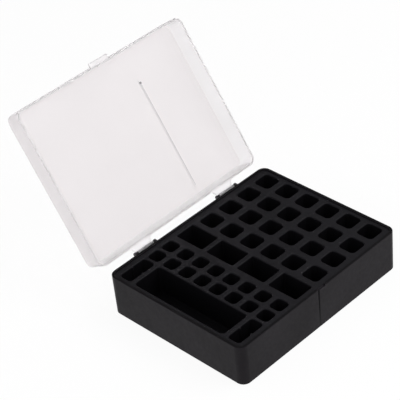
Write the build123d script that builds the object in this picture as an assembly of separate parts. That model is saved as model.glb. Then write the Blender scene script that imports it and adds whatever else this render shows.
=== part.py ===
from build123d import *
import math
import os

# Hinged battery storage box: a black base whose deck holds rows of battery pockets,
# and a translucent tray-shaped lid that clips onto two hinge pins along the back wall.
# Millimetres. X runs along the hinge, +Y points to the hinge side, +Z is up.
# The origin is the middle of the base's underside.

# ---- pockets, left to right: openings across X and the webs between them
side_margin = 5.2           # outer wall face to the first and last opening
bay_width = 25.8            # long bay, and the double pocket at each of its ends
bay_web = 2.4
aaa_opening_x = 11.3        # holds a 10.5 mm cell
aaa_web_x = 2.9
aaa_to_block_web = 5.9
block_width = 17.8          # holds a 17.5 x 26.5 mm block battery
block_to_aa_web = 5.3
aa_opening = 15.0           # holds a 14.5 mm cell
aa_web_x = 5.7
aa_columns = 4
aaa_columns = 2

# ---- pockets, front to back
aa_rows = 6
aa_web_y = 5.6
block_length = 27.0
block_rows = 4
block_web_y = 4.0
aaa_opening_y = 11.5
aaa_rows = 8
aaa_web_y = 4.0
aa_corner = 3.2
aaa_corner = 3.0
block_corner = 1.5
bay_corner = 2.8
nub_height = 1.3            # points at the waist of each double pocket
nub_width = 2.2

# ---- base
end_margin = 6.7            # outer wall face to the pocket field, front and back
base_height = 35.2
wall = 2.2
base_corner = 6.7
wall_taper = 0.4            # degrees, wider at the rim
floor_thickness = 1.5
rim_lip = 1.0               # rim above the deck
deck_fit = 0.15             # gap round the pocket grid inside the walls
deck_thickness = 2.0        # over the cores of the ribs
rib_wall = 1.2              # beside the cores of the ribs
core_least = 1.4            # narrower cores are left out
pocket_floor = 1.5
mouth_chamfer = 0.5
bay_depth = 24.0
aaa_depth = 27.0
block_floor_rise = 0.7      # shell floor to the underside of the block pockets' floors
rim_round = 0.6
foot_chamfer = 0.5

# ---- latch place in the middle of the front wall
notch_width = 8.8
notch_drop = 1.3
groove_width = 2.6
groove_depth = 1.1
groove_offset = -3.0        # groove centre from the box centre

# ---- lid
lid_height = 18.7
lid_wall = 1.6
lid_panel = 1.5
lid_corner = 6.3
lid_side_inset = 0.4
lid_back_inset = 2.8
lid_taper = 2.2             # degrees, narrower at the panel
lid_edge_round = 2.2
lid_gap = 0.2               # closed lid above the rim
open_angle = 123.5          # from closed to the stop

tab_width = 19.0            # finger tab on the lid's front edge
tab_reach = 3.6
tab_thickness = 1.8
tab_corner = 1.4
catch_width = 7.6           # tongue under the front edge that enters the rim's notch
catch_drop = 1.0
catch_thickness = 1.3
catch_setback = 0.35

# ---- hinges
hinge_centre = 44.4         # middle of each hinge from the box centre
ear_gap = 19.2              # clear width between a pair of ears
ear_thickness = 1.3
ear_end = 4.0               # how far an ear stands out of the back wall
ear_drop = 5.0
pin_radius = 1.2
pin_back = 2.4              # pin axis behind the back wall
pin_drop = 1.9              # pin axis below the rim
lug_width = 15.4
lug_root_width = 22.0
lug_thickness = 1.6
clip_clearance = 0.08
clip_wall = 0.95
clip_mouth = 100.0          # degrees left open for snapping over the pin

# ---- places that follow from the sizes above
aaa_span = aaa_columns * aaa_opening_x + (aaa_columns - 1) * aaa_web_x
aa_span = aa_columns * aa_opening + (aa_columns - 1) * aa_web_x
base_length = (
    2 * side_margin + bay_width + bay_web + aaa_span + aaa_to_block_web
    + block_width + block_to_aa_web + aa_span
)
field_depths = (
    aa_rows * aa_opening + (aa_rows - 1) * aa_web_y,
    block_rows * block_length + (block_rows - 1) * block_web_y,
    aaa_rows * aaa_opening_y + (aaa_rows - 1) * aaa_web_y,
)
base_depth = max(field_depths) + 2 * end_margin
deck_top = base_height - rim_lip
cavity_length = base_length - 2 * wall
cavity_depth = base_depth - 2 * wall
cavity_corner = base_corner - wall
bay_floor_top = deck_top - bay_depth
aaa_floor_top = deck_top - aaa_depth
block_depth = deck_top - floor_thickness - block_floor_rise - pocket_floor
block_floor_top = deck_top - block_depth
back_face = base_depth / 2
pin_y = back_face + pin_back
pin_z = base_height - pin_drop
clip_outer = pin_radius + clip_clearance + clip_wall
lid_bottom = base_height + lid_gap


def evenly(count, size, web):
    """Low and high edges of a centred run of equal openings."""
    start = -(count * size + (count - 1) * web) / 2
    return [(start + k * (size + web), start + k * (size + web) + size) for k in range(count)]


def build_columns():
    """Every column as (kind, x low, x high, openings along Y), from left to right."""
    aaa_edges = evenly(aaa_rows, aaa_opening_y, aaa_web_y)
    bay_edges = [aaa_edges[0], (aaa_edges[1][0], aaa_edges[-2][1]), aaa_edges[-1]]
    columns = []
    x = -base_length / 2 + side_margin
    columns.append(("bay", x, x + bay_width, bay_edges))
    x += bay_width + bay_web
    for _ in range(aaa_columns):
        columns.append(("aaa", x, x + aaa_opening_x, aaa_edges))
        x += aaa_opening_x + aaa_web_x
    x += aaa_to_block_web - aaa_web_x
    columns.append(("block", x, x + block_width, evenly(block_rows, block_length, block_web_y)))
    x += block_width + block_to_aa_web
    for _ in range(aa_columns):
        columns.append(("aa", x, x + aa_opening, evenly(aa_rows, aa_opening, aa_web_y)))
        x += aa_opening + aa_web_x
    return columns


columns = build_columns()
corner_of = {"bay": bay_corner, "aaa": aaa_corner, "block": block_corner, "aa": aa_corner}


def block_between(x, y, z):
    """A box from its low and high values along each axis."""
    size = (x[1] - x[0], y[1] - y[0], z[1] - z[0])
    middle = ((x[0] + x[1]) / 2, (y[0] + y[1]) / 2, (z[0] + z[1]) / 2)
    return Pos(*middle) * Box(*size)


def ear(x_inner, outward):
    """A rounded hinge ear on the back wall; x_inner is its face next to the lug."""
    tip_radius = ear_end - pin_back
    with BuildPart() as piece:
        with BuildSketch(Plane.YZ.offset(x_inner)):
            with BuildLine():
                top = base_height - 0.3
                root = back_face - wall / 2
                Polyline(
                    (root, base_height - ear_drop),
                    (root, top),
                    (back_face + ear_end - tip_radius, top),
                )
                ThreePointArc(
                    (back_face + ear_end - tip_radius, top),
                    (back_face + ear_end, top - tip_radius),
                    (back_face + ear_end - 0.4, top - 2 * tip_radius),
                )
                Line(
                    (back_face + ear_end - 0.4, top - 2 * tip_radius),
                    (root, base_height - ear_drop),
                )
            make_face()
        extrude(amount=outward * ear_thickness)
    return piece.part


def build_base_shell():
    """Outer walls and floor in one, with hinge ears behind and the latch place in front."""
    with BuildPart() as shell:
        with BuildSketch(Plane.XY.offset(base_height)):
            RectangleRounded(base_length, base_depth, base_corner)
        extrude(amount=-base_height, taper=wall_taper)
        chamfer(shell.faces().sort_by(Axis.Z)[0].edges(), foot_chamfer)
        fillet(shell.faces().sort_by(Axis.Z)[-1].edges(), rim_round)
        with BuildSketch(Plane.XY.offset(floor_thickness)):
            RectangleRounded(cavity_length, cavity_depth, cavity_corner)
        extrude(amount=base_height, mode=Mode.SUBTRACT)
    body = shell.part
    # the rim drops a little where the lid's catch passes
    notch_x = (-notch_width / 2, notch_width / 2)
    notch_y = (-base_depth / 2 - 1, -base_depth / 2 + wall + 1)
    body -= block_between(notch_x, notch_y, (base_height - notch_drop, base_height + 1))
    body -= build_front_groove()
    for side in (-1, 1):
        for edge in (-1, 1):
            body += ear(side * hinge_centre + edge * ear_gap / 2, edge)
    pin_hole = Cylinder(pin_radius, 4 * base_length, rotation=(0, 90, 0))
    return body - Pos(0, pin_y, pin_z) * pin_hole


def build_front_groove():
    """A V groove in the front wall, widest and deepest at the rim, gone at the foot."""
    front = -base_depth / 2
    foot_share = 0.12

    def vee(z, share):
        half, depth = groove_width / 2 * share, groove_depth * share
        with BuildSketch(Plane.XY.offset(z)) as section:
            with BuildLine():
                Polyline(
                    (groove_offset - half, front - 0.5),
                    (groove_offset - half, front),
                    (groove_offset - half * 0.4, front + depth),
                    (groove_offset + half, front),
                    (groove_offset + half, front - 0.5),
                    close=True,
                )
            make_face()
        return section.sketch

    return loft([vee(foot_chamfer + 0.5, foot_share), vee(base_height + 0.5, 1.0)], ruled=True)


def rectangle_between(x, y):
    """A flat rectangle from its low and high values along each axis."""
    size = (abs(x[1] - x[0]), abs(y[1] - y[0]))
    return Pos((x[0] + x[1]) / 2, (y[0] + y[1]) / 2) * Rectangle(*size)


def grid_outline():
    """Outline of the whole pocket grid, inside the walls."""
    length = cavity_length - 2 * deck_fit
    depth = cavity_depth - 2 * deck_fit
    return RectangleRounded(length, depth, cavity_corner - deck_fit)


def build_mouth(kind, x, y):
    """Outline of one pocket."""
    middle = Pos((x[0] + x[1]) / 2, (y[0] + y[1]) / 2)
    return middle * RectangleRounded(x[1] - x[0], y[1] - y[0], corner_of[kind])


def build_mouth_easings(column):
    """A cutter for each pocket of a column that eases the mouth's edge."""
    kind, x_low, x_high, openings = column
    easings = []
    for opening in openings:
        mouth = Pos(0, 0, deck_top - mouth_chamfer) * build_mouth(kind, (x_low, x_high), opening)
        easings.append(extrude(mouth, amount=2 * mouth_chamfer, taper=-45))
    return easings


def build_rib(outline, core_x, core_y, easings):
    """An upright rib of the grid, cored from below where it is thick, with eased mouth edges."""
    foot = Pos(0, 0, floor_thickness)
    body = extrude(foot * (outline & grid_outline()), amount=deck_top - floor_thickness)
    if min(core_x[1] - core_x[0], core_y[1] - core_y[0]) >= core_least:
        body -= block_between(core_x, core_y, (0, deck_top - deck_thickness))
    for easing in easings:
        body -= easing
    return body


def build_long_ribs(all_easings):
    """Ribs that run front to back: one beside each end wall and one between columns."""
    edge = cavity_length / 2 - deck_fit
    half = cavity_depth / 2 - deck_fit
    spans = [(-edge, columns[0][1])]
    spans += [(left[2], right[1]) for left, right in zip(columns, columns[1:])]
    spans += [(columns[-1][2], edge)]
    ribs = []
    for number, (low, high) in enumerate(spans):
        beside = all_easings[max(number - 1, 0)] + all_easings[min(number, len(columns) - 1)]
        core_x = (low + rib_wall, high - rib_wall)
        core_y = (rib_wall - half, half - rib_wall)
        outline = rectangle_between((low, high), (-half, half))
        ribs.append(build_rib(outline, core_x, core_y, beside))
    return Compound(children=ribs)


def rib_rows(openings):
    """Each cross rib of a column as (y low, y high, pocket in front, pocket behind)."""
    half = cavity_depth / 2 - deck_fit
    edges = [-half] + [y for pair in openings for y in pair] + [half]
    rows = list(zip(edges[::2], edges[1::2]))
    last = len(rows) - 1
    return [(low, high, number > 0, number < last) for number, (low, high) in enumerate(rows)]


def build_cross_ribs(kind, all_easings):
    """The straight middles of the ribs across the columns of one kind."""
    corner = corner_of[kind]
    ribs = []
    for column, easings in zip(columns, all_easings):
        if column[0] != kind:
            continue
        x = (column[1] + corner, column[2] - corner)
        for number, (low, high, _, _) in enumerate(rib_rows(column[3])):
            beside = easings[max(number - 1, 0):number + 1]
            core_y = (low + rib_wall, high - rib_wall)
            ribs.append(build_rib(rectangle_between(x, (low, high)), x, core_y, beside))
    return Compound(children=ribs)


def build_rib_roots(kind, all_easings):
    """The flared roots of the same ribs: they round the corners of the pockets."""
    corner = corner_of[kind]
    roots = []
    for column, easings in zip(columns, all_easings):
        if column[0] != kind:
            continue
        for number, (low, high, in_front, behind) in enumerate(rib_rows(column[3])):
            y = (low - corner * in_front, high + corner * behind)
            beside = easings[max(number - 1, 0):number + 1]
            for wall_x, free_x in (
                (column[1], column[1] + corner),
                (column[2], column[2] - corner),
            ):
                outline = rectangle_between((wall_x, free_x), y)
                for is_pocket, round_y in zip((in_front, behind), y):
                    if is_pocket:
                        outline -= Pos(free_x, round_y) * Circle(corner)
                roots.append(build_rib(outline, (0, 0), (0, 0), beside))
    return Compound(children=roots)


def nub_outlines(x, y):
    """Points at the waist of each long side of a double pocket."""
    middle = (x[0] + x[1]) / 2
    outlines = []
    for edge, inward in ((y[0], 1), (y[1], -1)):
        with BuildSketch() as outline:
            with BuildLine():
                Polyline(
                    (middle - nub_width / 2, edge),
                    (middle, edge + inward * nub_height),
                    (middle + nub_width / 2, edge),
                    close=True,
                )
            make_face()
        outlines.append(outline.sketch)
    return outlines


def build_raised_floors(kind, floor_top, rows=None):
    """Floors of the pockets that are shallower than the box."""
    plates = []
    for column_kind, x_low, x_high, openings in columns:
        if column_kind != kind:
            continue
        for number, opening in enumerate(openings):
            if rows is not None and number not in rows:
                continue
            outline = build_mouth(kind, (x_low, x_high), opening)
            if kind == "bay" and number != 1:
                for nub in nub_outlines((x_low, x_high), opening):
                    outline -= nub
            foot = Pos(0, 0, floor_top - pocket_floor)
            plates.append(extrude(foot * outline, amount=pocket_floor))
    return Compound(children=plates)


def build_waist_points():
    """The upright points that part the two places of each double pocket."""
    _, x_low, x_high, openings = columns[0]
    foot = Pos(0, 0, floor_thickness)
    height = deck_top - mouth_chamfer - floor_thickness
    points = []
    for opening in (openings[0], openings[-1]):
        for outline in nub_outlines((x_low, x_high), opening):
            points.append(extrude(foot * outline, amount=height))
    return Compound(children=points)


def build_pocket_grid():
    """Every node of the pocket grid."""
    all_easings = [build_mouth_easings(column) for column in columns]
    grid = {"long_ribs": build_long_ribs(all_easings)}
    for kind in corner_of:
        grid[f"{kind}_cross_ribs"] = build_cross_ribs(kind, all_easings)
        grid[f"{kind}_rib_roots"] = build_rib_roots(kind, all_easings)
    grid["bay_floor"] = build_raised_floors("bay", bay_floor_top, rows=(1,))
    grid["double_pocket_floors"] = build_raised_floors("bay", aaa_floor_top, rows=(0, 2))
    grid["aaa_floors"] = build_raised_floors("aaa", aaa_floor_top)
    grid["block_floors"] = build_raised_floors("block", block_floor_top)
    grid["waist_points"] = build_waist_points()
    return grid


def build_hinge_pin(side):
    """A pin through a pair of ears, with its ends flush with them."""
    length = ear_gap + 2 * ear_thickness
    return Pos(side * hinge_centre, pin_y, pin_z) * Cylinder(pin_radius, length, rotation=(0, 90, 0))


def build_lid_tray():
    """The lid's shallow tray, closed on the base."""
    length = base_length - 2 * lid_side_inset
    depth = base_depth - lid_back_inset
    with BuildPart() as tray:
        with BuildSketch(Plane.XY.offset(lid_bottom)):
            with Locations((0, -lid_back_inset / 2)):
                RectangleRounded(length, depth, lid_corner)
        extrude(amount=lid_height, taper=lid_taper)
        fillet(tray.faces().sort_by(Axis.Z)[-1].edges(), lid_edge_round)
        with BuildSketch(Plane.XY.offset(lid_bottom)):
            with Locations((0, -lid_back_inset / 2)):
                RectangleRounded(length - 2 * lid_wall, depth - 2 * lid_wall, lid_corner - lid_wall)
        extrude(amount=lid_height - lid_panel, taper=lid_taper, mode=Mode.SUBTRACT)
    return tray.part


def build_latch_tab():
    """The finger tab on the middle of the lid's front edge, and the catch under it."""
    front = -base_depth / 2
    inner = front + lid_wall / 2
    with BuildPart() as tab:
        with BuildSketch(Plane.XY.offset(lid_bottom)):
            with Locations((0, (inner + front - tab_reach) / 2)):
                Rectangle(tab_width, inner - front + tab_reach)
        extrude(amount=tab_thickness)
        outer_corners = tab.edges().filter_by(Axis.Z).group_by(Axis.Y)[0]
        fillet(outer_corners, tab_corner)
        chamfer(tab.faces().sort_by(Axis.Z)[-1].edges().sort_by(Axis.Y)[0], 0.6)
    catch_y = (front + catch_setback, front + catch_setback + catch_thickness)
    catch_z = (lid_bottom - catch_drop, lid_bottom + lid_panel)
    return tab.part + block_between((-catch_width / 2, catch_width / 2), catch_y, catch_z)


def build_hinge_lug(side):
    """An arm off the lid's back edge that ends in a snap clip round the pin."""
    lid_back = back_face - lid_back_inset
    arm_low, arm_high = lid_bottom, lid_bottom + lug_thickness
    with BuildPart() as arm:
        with BuildSketch(Plane.XY.offset(arm_low)):
            with BuildLine():
                Polyline(
                    (-lug_root_width / 2, lid_back - lid_wall / 2),
                    (-lug_width / 2, pin_y - clip_outer / 2),
                    (-lug_width / 2, pin_y),
                    (lug_width / 2, pin_y),
                    (lug_width / 2, pin_y - clip_outer / 2),
                    (lug_root_width / 2, lid_back - lid_wall / 2),
                    close=True,
                )
            make_face()
        extrude(amount=arm_high - arm_low)
    bore = pin_radius + clip_clearance
    shoulder = (math.cos(math.radians(40)), math.sin(math.radians(40)))
    with BuildPart() as clip:
        with BuildSketch(Plane.YZ.offset(-lug_width / 2)):
            with Locations((pin_y, pin_z)):
                Circle(clip_outer)
            with BuildLine():
                Polyline(
                    (pin_y, pin_z),
                    (pin_y - bore, arm_low),
                    (pin_y - bore, arm_high),
                    (pin_y + clip_wall, arm_high),
                    (pin_y + clip_outer * shoulder[0], pin_z + clip_outer * shoulder[1]),
                    close=True,
                )
            make_face()
            with BuildLine():
                reach = clip_outer * 1.6
                edges = (180 - clip_mouth / 2, 180, 180 + clip_mouth / 2)
                mouth = [
                    (pin_y + reach * math.cos(math.radians(a)), pin_z + reach * math.sin(math.radians(a)))
                    for a in edges
                ]
                Polyline((pin_y, pin_z), *mouth, close=True)
            make_face(mode=Mode.SUBTRACT)
            with Locations((pin_y, pin_z)):
                Circle(bore, mode=Mode.SUBTRACT)
        extrude(amount=lug_width)
    return Pos(side * hinge_centre, 0, 0) * (arm.part + clip.part)


def build_lid():
    """Tray, latch tab and both hinge lugs, swung open about the pins."""
    closed = build_lid_tray() + build_latch_tab()
    for side in (-1, 1):
        closed += build_hinge_lug(side)
    hinge_axis = Axis((0, pin_y, pin_z), (1, 0, 0))
    return closed.rotate(hinge_axis, -open_angle)


os.makedirs("parts", exist_ok=True)
nodes = {
    "base_shell": build_base_shell(),
    **build_pocket_grid(),
    "hinge_pin_left": build_hinge_pin(-1),
    "hinge_pin_right": build_hinge_pin(1),
    "lid": build_lid(),
}
for name, shape in nodes.items():
    export_step(shape, f"parts/{name}.step")
print(f"base {base_length:.1f} x {base_depth:.1f} x {base_height:.1f}")
print(f"closed height {lid_bottom + lid_height:.1f}")
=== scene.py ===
import math

import bmesh
import bpy
from mathutils import Matrix, Quaternion, Vector


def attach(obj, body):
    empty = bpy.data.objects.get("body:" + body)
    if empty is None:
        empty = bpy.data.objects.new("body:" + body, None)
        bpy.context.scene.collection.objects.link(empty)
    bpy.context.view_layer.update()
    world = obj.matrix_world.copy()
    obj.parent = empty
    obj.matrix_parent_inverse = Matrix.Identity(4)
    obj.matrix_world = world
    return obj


# Hinged battery storage box: black moulded base, a grid of battery pockets and a translucent
# tray-shaped lid. Blender works in metres, and the settings below are in millimetres.
mm = 0.001

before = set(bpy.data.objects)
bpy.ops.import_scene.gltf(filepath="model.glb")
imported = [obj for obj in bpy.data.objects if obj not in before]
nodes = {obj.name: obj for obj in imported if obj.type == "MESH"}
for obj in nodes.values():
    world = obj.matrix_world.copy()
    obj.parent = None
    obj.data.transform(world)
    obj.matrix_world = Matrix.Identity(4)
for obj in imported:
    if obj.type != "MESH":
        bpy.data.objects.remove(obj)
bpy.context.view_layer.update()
print("frame loaded:", len(nodes), "nodes")


def linear(hexColour):
    channels = []
    for start in (1, 3, 5):
        value = int(hexColour[start:start + 2], 16) / 255
        low = value / 12.92
        high = ((value + 0.055) / 1.055) ** 2.4
        channels.append(low if value <= 0.04045 else high)
    return (*channels, 1.0)


class NodeBuilder:
    # adds nodes to one material and wires them by socket name
    def __init__(self, name):
        self.material = bpy.data.materials.new(name)
        self.material.use_nodes = True
        self.tree = self.material.node_tree
        self.shader = self.tree.nodes["Principled BSDF"]
        self.coords = self.tree.nodes.new("ShaderNodeTexCoord").outputs["Object"]

    def add(self, kind, links=None, **values):
        node = self.tree.nodes.new(kind)
        for key, value in values.items():
            if hasattr(node, key):
                setattr(node, key, value)
            else:
                node.inputs[key.replace("_", " ")].default_value = value
        for socket, source in (links or {}).items():
            self.tree.links.new(source, node.inputs[socket])
        return node

    def noise(self, sizeMm, detail, roughness=0.5):
        node = self.add(
            "ShaderNodeTexNoise", {"Vector": self.coords}, Detail=detail, Roughness=roughness
        )
        node.inputs["Scale"].default_value = 1 / (sizeMm * mm)
        return node.outputs["Fac"]

    def remap(self, source, fromLow, fromHigh, toLow, toHigh):
        node = self.add("ShaderNodeMapRange", {"Value": source})
        node.inputs["From Min"].default_value = fromLow
        node.inputs["From Max"].default_value = fromHigh
        node.inputs["To Min"].default_value = toLow
        node.inputs["To Max"].default_value = toHigh
        return node.outputs["Result"]

    def mixColour(self, factor, first, second):
        node = self.add("ShaderNodeMix", data_type="RGBA")
        for socket, value in (("A", first), ("B", second)):
            target = [s for s in node.inputs if s.name == socket and s.type == "RGBA"][0]
            if isinstance(value, tuple):
                target.default_value = value
            else:
                self.tree.links.new(value, target)
        amount = [s for s in node.inputs if s.name == "Factor" and s.type == "VALUE"][0]
        self.tree.links.new(factor, amount)
        return [s for s in node.outputs if s.type == "RGBA"][0]

    def math(self, operation, first, second=0.0):
        node = self.add("ShaderNodeMath", operation=operation)
        for number, value in enumerate((first, second)):
            if isinstance(value, float):
                node.inputs[number].default_value = value
            else:
                self.tree.links.new(value, node.inputs[number])
        return node.outputs["Value"]

    def bump(self, height, strength, distanceMm):
        node = self.add("ShaderNodeBump", {"Height": height}, Strength=strength)
        node.inputs["Distance"].default_value = distanceMm * mm
        return node.outputs["Normal"]

    def finish(self, **sockets):
        for name, value in sockets.items():
            target = self.shader.inputs[name.replace("_", " ")]
            if isinstance(value, float):
                target.default_value = value
            else:
                self.tree.links.new(value, target)
        return self.material


# Black polypropylene from a spark-eroded mould: a fine even grain, dull on every face, with a
# slightly paler bloom on the edges, partly handling wear and partly a painted highlight. Inside
# the pockets, on the rim's flat top and in the V groove, the colour is a painted shade of deeper
# black.
blackPolypropylene = {
    "shell": {
        "colour": "#110e12", "worn": "#302d32", "edge": "#6a666c", "inside": "#040305",
        "rimShadeAbove": 34.98, "groove": {"x": -3.0, "halfWidth": 1.1, "y": -65.8},
        "roughness": (0.42, 0.54), "grainMm": 0.55, "gloss": 0.10,
    },
    "pocketGrid": {
        "colour": "#141316", "worn": "#26252a", "edge": "#26252a", "inside": "#0b0a0d",
        "insideBelow": 33.6,
        "roughness": (0.46, 0.60), "grainMm": 0.50, "gloss": 0.10,
    },
    "hingePin": {
        "colour": "#1a191c", "worn": "#2b2a2e", "edge": "#2b2a2e",
        "roughness": (0.30, 0.42), "grainMm": 0.40, "gloss": 0.3,
    },
}
mouldedBlack = {
    "ior": 1.49, "flowMm": 38.0, "flowShare": 0.22, "dustMm": 3.2, "edgeMm": 0.7, "edgeShare": 0.55,
    "grainStrength": 0.35, "grainDepthMm": 0.05, "insideFadeMm": 0.9,
    "rimShadeFadeMm": 0.2, "rimShadeShare": 0.9, "grooveCore": 0.55,
}


def makeBlackPolypropylene(name, settings, shared):
    build = NodeBuilder(name)
    flow = build.noise(shared["flowMm"], detail=3.0)
    grain = build.noise(settings["grainMm"], detail=1.0)
    dust = build.noise(shared["dustMm"], detail=4.0, roughness=0.65)
    # wide soft differences from the way the melt filled the mould
    streaks = build.remap(flow, 0.3, 0.7, 0.0, shared["flowShare"])
    body = build.mixColour(streaks, linear(settings["colour"]), linear(settings["worn"]))
    # handling rubs the outer edges a little paler, and the same paler edges are a painted highlight
    edge = build.add("ShaderNodeBevel", samples=6)
    edge.inputs["Radius"].default_value = shared["edgeMm"] * mm
    geometry = build.add("ShaderNodeNewGeometry")
    spread = build.add("ShaderNodeVectorMath", operation="DOT_PRODUCT")
    build.tree.links.new(edge.outputs["Normal"], spread.inputs[0])
    build.tree.links.new(geometry.outputs["Normal"], spread.inputs[1])
    rubbedAndHighlit = build.remap(spread.outputs["Value"], 0.99, 0.80, 0.0, shared["edgeShare"])
    patchy = build.math("MULTIPLY", rubbedAndHighlit, build.remap(dust, 0.35, 0.65, 0.35, 1.0))
    colour = build.mixColour(patchy, body, linear(settings["edge"]))
    place = build.add("ShaderNodeSeparateXYZ", {"Vector": build.coords}).outputs
    # painted shade: the pocket walls below the eased mouths are darkened
    if "insideBelow" in settings:
        level = settings["insideBelow"] * mm
        pocketShade = build.remap(place["Z"], level, level - shared["insideFadeMm"] * mm, 0.0, 1.0)
        colour = build.mixColour(pocketShade, colour, linear(settings["inside"]))
    # painted shade: the rim's flat top is darkened, without the grain's pale bloom
    if "rimShadeAbove" in settings:
        level = settings["rimShadeAbove"] * mm
        fade = shared["rimShadeFadeMm"] * mm
        rimShade = build.remap(place["Z"], level, level + fade, 0.0, shared["rimShadeShare"])
        colour = build.mixColour(rimShade, colour, linear(settings["inside"]))
    # painted shade at the bottom of the V groove
    if "groove" in settings:
        groove = settings["groove"]
        offset = build.math("ABSOLUTE", build.math("SUBTRACT", place["X"], groove["x"] * mm))
        outer = groove["halfWidth"] * mm
        inGroove = build.remap(offset, outer, outer * shared["grooveCore"], 0.0, 1.0)
        inFront = build.math("LESS_THAN", place["Y"], groove["y"] * mm)
        grooveShade = build.math("MULTIPLY", inGroove, inFront)
        colour = build.mixColour(grooveShade, colour, linear(settings["inside"]))
    low, high = settings["roughness"]
    rough = build.remap(dust, 0.3, 0.7, low, high)
    texture = build.bump(grain, shared["grainStrength"], shared["grainDepthMm"])
    return build.finish(
        Base_Color=colour, Roughness=rough, Normal=texture,
        IOR=shared["ior"], Specular_IOR_Level=settings["gloss"],
    )


# the hinge's axis, and how far the lid stands open at rest
hinge = {"y": 69.1, "z": 33.3, "openDegrees": 123.5}

# Natural polypropylene, moulded thin: milky and see-through, cloudy over a few centimetres,
# with a frosted panel and the walls painted a touch whiter as painted light. Its IOR is below
# the real 1.49, which drew dark lines along the thin walls.
naturalPolypropylene = {
    "colour": "#f3eff0", "cloud": "#efebec", "wall": "#fffdfe",
    "panelAbove": 51.4, "panelFade": 0.6,
    "flowMm": 45.0, "hazeMm": 9.0, "grainMm": 0.7, "grainStrength": 0.06, "grainDepthMm": 0.02,
    "roughness": (0.42, 0.52), "see": 0.92, "gloss": 0.18, "ior": 1.35,
}


def makeNaturalPolypropylene(name, settings):
    build = NodeBuilder(name)
    flow = build.noise(settings["flowMm"], detail=2.0)
    haze = build.noise(settings["hazeMm"], detail=4.0, roughness=0.6)
    grain = build.noise(settings["grainMm"], detail=1.0)
    clouds = build.remap(flow, 0.3, 0.7, 0.0, 0.7)
    colour = build.mixColour(clouds, linear(settings["colour"]), linear(settings["cloud"]))
    # height above the table when the lid is shut tells the panel from the walls
    turn = math.radians(hinge["openDegrees"])
    shut = build.add("ShaderNodeVectorMath", {"Vector": build.coords}, operation="DOT_PRODUCT")
    shut.inputs[1].default_value = (0, math.sin(turn), math.cos(turn))
    axisHeight = hinge["y"] * math.sin(turn) + hinge["z"] * (math.cos(turn) - 1)
    level = (settings["panelAbove"] + axisHeight) * mm
    fade = settings["panelFade"] * mm
    panel = build.remap(shut.outputs["Value"], level - fade, level + fade, 0.0, 1.0)
    # painted light: the walls are a touch whiter than the panel
    colour = build.mixColour(panel, linear(settings["wall"]), colour)
    low, high = settings["roughness"]
    rough = build.remap(haze, 0.3, 0.7, low, high)
    texture = build.bump(grain, settings["grainStrength"], settings["grainDepthMm"])
    return build.finish(
        Base_Color=colour, Roughness=rough, Normal=texture, IOR=settings["ior"],
        Transmission_Weight=settings["see"], Specular_IOR_Level=settings["gloss"],
    )


materials = {}
for piece, settings in blackPolypropylene.items():
    materialName = "blackPolypropylene" + piece[0].upper() + piece[1:]
    materials[piece] = makeBlackPolypropylene(materialName, settings, mouldedBlack)
materials["lid"] = makeNaturalPolypropylene("naturalPolypropylene", naturalPolypropylene)


def dress(node, material):
    for slot in node.material_slots:
        slot.material = material
    if not node.material_slots:
        node.data.materials.append(material)


for name, node in nodes.items():
    if name == "base_shell":
        dress(node, materials["shell"])
    elif name.startswith("hinge_pin"):
        dress(node, materials["hingePin"])
    elif name == "lid":
        dress(node, materials["lid"])
    else:
        dress(node, materials["pocketGrid"])
print("materials:", len(materials))

# A rule with a round dot in grey pad-printing ink: flat, dull and slightly speckled. It lies on
# the lid's outside, and a paler copy inside stands for how it shows through the milky panel.
# Places are those of the shut lid.
printSettings = {
    "x": 35.0, "yFrom": -35.9, "yTo": 55.0, "ruleWidth": 0.36, "dotRadius": 0.95, "dotSides": 28,
    "thickness": 0.03, "speckleMm": 0.35, "speckle": "#c9c8ca", "gloss": 0.3,
    "faces": [
        {"name": "Print", "z": 54.1, "side": 1, "rule": "#8a898e", "dot": "#4a494e"},
        {"name": "ShowThrough", "z": 52.6, "side": -1, "rule": "#cbcacc", "dot": "#8d8c90"},
    ],
}


def openedLid():
    axis = Vector((0, hinge["y"], hinge["z"])) * mm
    turn = Matrix.Rotation(math.radians(-hinge["openDegrees"]), 4, "X")
    return Matrix.Translation(axis) @ turn @ Matrix.Translation(-axis)


def makePrintingInk(name, ink, settings):
    build = NodeBuilder(name)
    speckle = build.noise(settings["speckleMm"], detail=2.0)
    amount = build.remap(speckle, 0.35, 0.7, 0.0, 0.25)
    tone = build.mixColour(amount, linear(ink), linear(settings["speckle"]))
    rough = build.remap(speckle, 0.3, 0.7, 0.4, 0.6)
    return build.finish(Base_Color=tone, Roughness=rough, Specular_IOR_Level=settings["gloss"])


def ruleOutline(settings):
    half = settings["ruleWidth"] / 2
    x = settings["x"]
    low = settings["yFrom"] + settings["dotRadius"]
    high = settings["yTo"]
    return [(x - half, low), (x + half, low), (x + half, high), (x - half, high)]


def dotOutline(settings):
    radius = settings["dotRadius"]
    outline = []
    for side in range(settings["dotSides"]):
        angle = 2 * math.pi * side / settings["dotSides"]
        x = settings["x"] + radius * math.cos(angle)
        y = settings["yFrom"] + radius * math.sin(angle)
        outline.append((x, y))
    return outline


def makePrint(name, outline, face, ink, settings):
    mesh = bmesh.new()
    levels = sorted((face["z"], face["z"] + face["side"] * settings["thickness"]))
    bottom, top = [
        [mesh.verts.new(Vector((x, y, level)) * mm) for x, y in outline] for level in levels
    ]
    mesh.faces.new(list(reversed(bottom)))
    mesh.faces.new(top)
    for number in range(len(outline)):
        following = (number + 1) % len(outline)
        mesh.faces.new((bottom[number], bottom[following], top[following], top[number]))
    bmesh.ops.recalc_face_normals(mesh, faces=mesh.faces)
    mesh.transform(openedLid())
    data = bpy.data.meshes.new(name)
    mesh.to_mesh(data)
    mesh.free()
    piece = bpy.data.objects.new(name, data)
    bpy.context.scene.collection.objects.link(piece)
    data.materials.append(makePrintingInk(name + "Ink", ink, settings))
    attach(piece, "lid")


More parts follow.
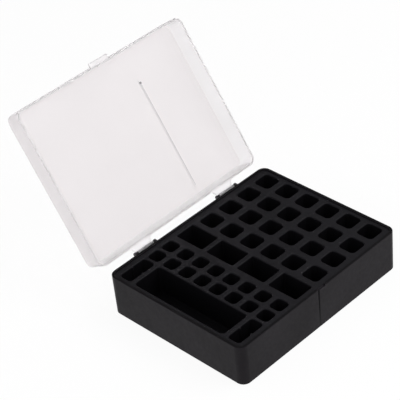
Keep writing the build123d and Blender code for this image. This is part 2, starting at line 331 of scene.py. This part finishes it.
for face in printSettings["faces"]:
    ruleName = "rule" + face["name"]
    dotName = "dot" + face["name"]
    makePrint(ruleName, ruleOutline(printSettings), face, face["rule"], printSettings)
    makePrint(dotName, dotOutline(printSettings), face, face["dot"], printSettings)
print("print on the lid")

# White backdrop paper, in metres. The camera, gloss and the see-through lid meet plain white,
# mixed with a small share of the lit surface, which carries the shadow.
floorSettings = {"half": 3.0, "colour": "#ffffff", "roughness": 0.9, "shadowShare": 0.08}


def makeFloor(settings):
    half = settings["half"]
    corners = [(-half, -half, 0), (half, -half, 0), (half, half, 0), (-half, half, 0)]
    mesh = bpy.data.meshes.new("floor")
    mesh.from_pydata(corners, [], [(0, 1, 2, 3)])
    floor = bpy.data.objects.new("floor", mesh)
    bpy.context.scene.collection.objects.link(floor)
    material = bpy.data.materials.new("backdropPaper")
    material.use_nodes = True
    tree = material.node_tree
    shader = tree.nodes["Principled BSDF"]
    shader.inputs["Base Color"].default_value = linear(settings["colour"])
    shader.inputs["Roughness"].default_value = settings["roughness"]
    glow = tree.nodes.new("ShaderNodeEmission")
    glow.inputs["Strength"].default_value = 1.0
    path = tree.nodes.new("ShaderNodeLightPath")
    seen = path.outputs["Is Camera Ray"]
    for extra in ("Is Glossy Ray", "Is Transmission Ray"):
        either = tree.nodes.new("ShaderNodeMath")
        either.operation = "MAXIMUM"
        tree.links.new(seen, either.inputs[0])
        tree.links.new(path.outputs[extra], either.inputs[1])
        seen = either.outputs["Value"]
    share = tree.nodes.new("ShaderNodeMath")
    share.operation = "MULTIPLY"
    share.inputs[1].default_value = 1 - settings["shadowShare"]
    tree.links.new(seen, share.inputs[0])
    mix = tree.nodes.new("ShaderNodeMixShader")
    tree.links.new(share.outputs["Value"], mix.inputs["Fac"])
    tree.links.new(shader.outputs["BSDF"], mix.inputs[1])
    tree.links.new(glow.outputs["Emission"], mix.inputs[2])
    tree.links.new(mix.outputs["Shader"], tree.nodes["Material Output"].inputs["Surface"])
    floor.data.materials.append(material)


makeFloor(floorSettings)
print("floor")

# white for the camera and through the lid, soft grey as light
worldSettings = {"light": 0.55, "seen": 1.0}


def makeWorld(settings):
    world = bpy.data.worlds.new("studio")
    bpy.context.scene.world = world
    world.use_nodes = True
    tree = world.node_tree
    background = tree.nodes["Background"]
    background.inputs["Color"].default_value = (1, 1, 1, 1)
    path = tree.nodes.new("ShaderNodeLightPath")
    seen = tree.nodes.new("ShaderNodeMath")
    seen.operation = "MAXIMUM"
    tree.links.new(path.outputs["Is Camera Ray"], seen.inputs[0])
    tree.links.new(path.outputs["Is Transmission Ray"], seen.inputs[1])
    strength = tree.nodes.new("ShaderNodeMapRange")
    strength.inputs["To Min"].default_value = settings["light"]
    strength.inputs["To Max"].default_value = settings["seen"]
    tree.links.new(seen.outputs["Value"], strength.inputs["Value"])
    tree.links.new(strength.outputs["Result"], background.inputs["Strength"])


makeWorld(worldSettings)

# softboxes, with places and sizes in metres
lampSettings = [
    {"name": "keySoftbox", "place": (0.55, -0.75, 1.05), "size": 0.9, "power": 9.0},
    {"name": "fillSoftbox", "place": (-0.95, -0.35, 0.55), "size": 0.9, "power": 4.0},
]
lampAim = (0, 0.02, 0.04)


def makeLamp(settings):
    light = bpy.data.lights.new(settings["name"], "AREA")
    light.size = settings["size"]
    light.energy = settings["power"]
    lamp = bpy.data.objects.new(settings["name"], light)
    lamp.location = settings["place"]
    direction = Vector(lampAim) - Vector(settings["place"])
    lamp.rotation_euler = direction.to_track_quat("-Z", "Y").to_euler()
    bpy.context.scene.collection.objects.link(lamp)


for settings in lampSettings:
    makeLamp(settings)
print("light ready")

# the photograph's angle, with places in metres
cameraSettings = {
    "place": (-0.665557, -0.680018, 0.795455), "aim": (0.021965, 0.075590, 0.0352),
    "rollDegrees": -6.27, "lens": 148.3156, "sensorWidth": 36, "clipEnd": 20,
}


def makeCamera(settings):
    data = bpy.data.cameras.new("camera")
    data.lens = settings["lens"]
    data.sensor_width = settings["sensorWidth"]
    data.clip_end = settings["clipEnd"]
    camera = bpy.data.objects.new("camera", data)
    bpy.context.scene.collection.objects.link(camera)
    camera.location = settings["place"]
    direction = Vector(settings["aim"]) - Vector(settings["place"])
    roll = Quaternion((0, 0, 1), math.radians(settings["rollDegrees"]))
    camera.rotation_euler = (direction.to_track_quat("-Z", "Y") @ roll).to_euler()
    bpy.context.scene.camera = camera


makeCamera(cameraSettings)
bpy.context.scene.view_settings.view_transform = "Standard"
print("camera ready")
